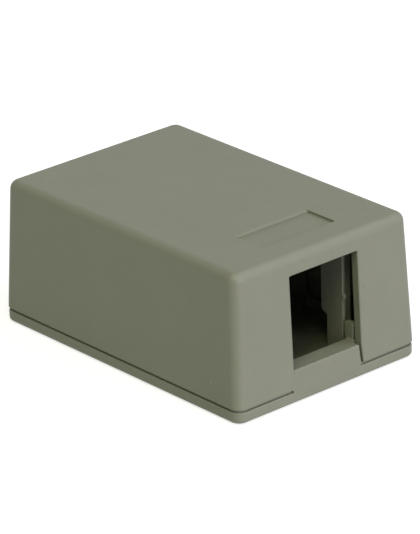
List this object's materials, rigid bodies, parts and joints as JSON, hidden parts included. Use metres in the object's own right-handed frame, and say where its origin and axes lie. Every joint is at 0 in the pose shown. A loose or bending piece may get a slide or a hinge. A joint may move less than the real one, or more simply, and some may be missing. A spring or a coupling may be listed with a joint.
{
  "type": "surface mount jack box",
  "caption": "Small wall box for one snap-in communications jack: drafted cover with a front window, snapped over a flat base with a jack bay, screw holes and foam mounting pads.",
  "frame": {"origin": "middle of the footprint, on the plane that the liners of the mounting pads stand on", "axes": "+X to the right across the front, the jack window looks along -Y, +Z away from the wall, out through the top of the cover"},
  "size_m": [0.04, 0.06, 0.026],
  "materials": {
    "moulded_abs": "matte",
    "foam_tape": "matte",
    "liner_paper": "satin"
  },
  "bodies": {
    "base": {"base": "moulded_abs", "mounting_tape_right": "foam_tape", "mounting_tape_left": "foam_tape", "tape_liner_right": "liner_paper", "tape_liner_left": "liner_paper"},
    "cover": {"cover": "moulded_abs"}
  },
  "joints": [
    {"name": "cover_lift", "type": "slide", "parent": "base", "child": "cover", "axis": [0, 0, 1], "range_m": [0, 0.03]}
  ]
}
